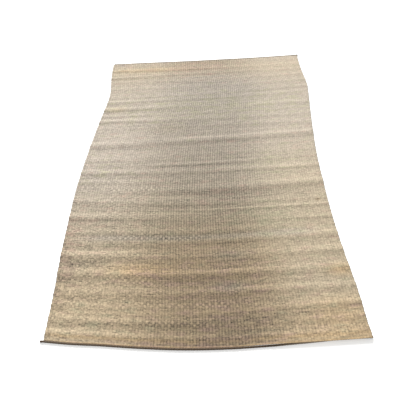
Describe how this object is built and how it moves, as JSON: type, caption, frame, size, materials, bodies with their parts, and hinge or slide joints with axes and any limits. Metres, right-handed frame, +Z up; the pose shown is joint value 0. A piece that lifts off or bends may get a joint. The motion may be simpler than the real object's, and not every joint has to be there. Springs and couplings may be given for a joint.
{
  "type": "jute rug",
  "caption": "Flat handwoven jute rug lying with wavy side edges and low cross ripples, a dark round binding sewn along each end.",
  "frame": {"origin": "on the floor, in the middle of the box round the whole rug", "axes": "+Z up from the floor; +Y along the rug from its front end to its back end; +X to the right across it"},
  "size_m": [1.572, 2.4904, 0.0171],
  "materials": {
    "woven_jute": "matte thick flat weave of undyed jute yarn",
    "dark_binding": "matte dark brown twisted yarn"
  },
  "bodies": {
    "root": {"cloth": "woven_jute", "front_binding": "dark_binding", "back_binding": "dark_binding"}
  },
  "joints": []
}
